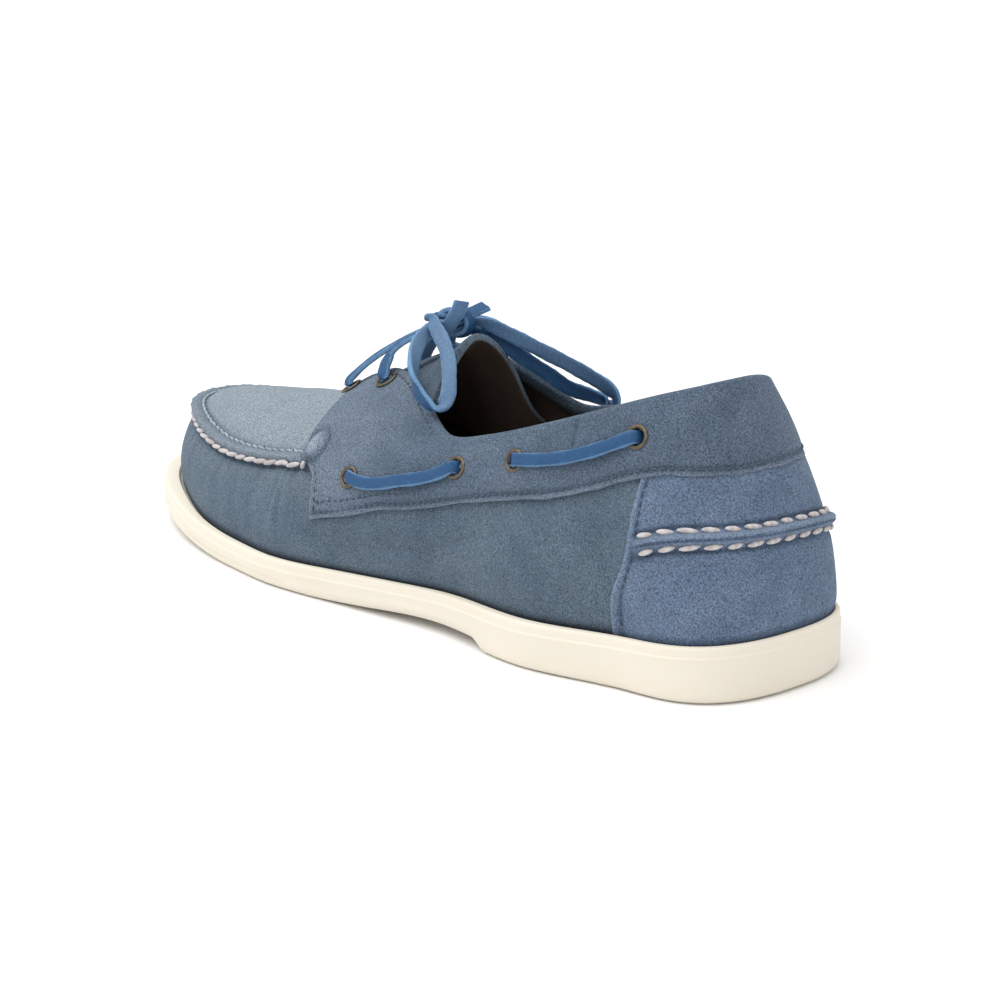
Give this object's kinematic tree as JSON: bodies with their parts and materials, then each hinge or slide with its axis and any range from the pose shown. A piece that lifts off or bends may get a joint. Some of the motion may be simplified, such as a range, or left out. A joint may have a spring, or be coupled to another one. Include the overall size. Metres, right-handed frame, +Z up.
{
  "type": "boat shoe",
  "caption": "Low suede boat shoe with a raised moccasin seam, side-threaded rawhide-style lace tied in a bow, overlaid heel counter and a flat cream rubber sole.",
  "frame": {"origin": "on the floor, in the middle of the outsole's box", "axes": "+Z up, +Y towards the toe, +X towards the inner (medial) side of the left foot"},
  "size_m": [0.099, 0.294, 0.0963],
  "materials": {
    "sole_rubber": "matte",
    "suede": "napped",
    "suede_overlay": "napped",
    "footbed": "satin",
    "lace": "satin",
    "eyelet_brass": "antique"
  },
  "bodies": {
    "root": {"outsole": "sole_rubber", "insole": "footbed", "upper": "suede", "saddle_collar": "suede_overlay", "heel_counter": "suede_overlay", "tongue": "suede", "eyelet_front_side_outer": "eyelet_brass", "eyelet_front_side_inner": "eyelet_brass", "eyelet_mid_side_outer": "eyelet_brass", "eyelet_mid_side_inner": "eyelet_brass", "eyelet_rear_side_outer": "eyelet_brass", "eyelet_rear_side_inner": "eyelet_brass", "eyelet_heel_side_outer": "eyelet_brass", "eyelet_heel_side_inner": "eyelet_brass", "eyelet_throat_rear_outer": "eyelet_brass", "eyelet_throat_rear_inner": "eyelet_brass", "eyelet_throat_front_outer": "eyelet_brass", "eyelet_throat_front_inner": "eyelet_brass", "side_lace_front_outer": "lace", "side_lace_front_inner": "lace", "side_lace_rear_outer": "lace", "side_lace_rear_inner": "lace", "lace_crossing": "lace", "lace_knot": "lace", "lace_loop_outer": "lace", "lace_loop_inner": "lace", "lace_end_outer": "lace", "lace_end_inner": "lace"}
  },
  "joints": []
}
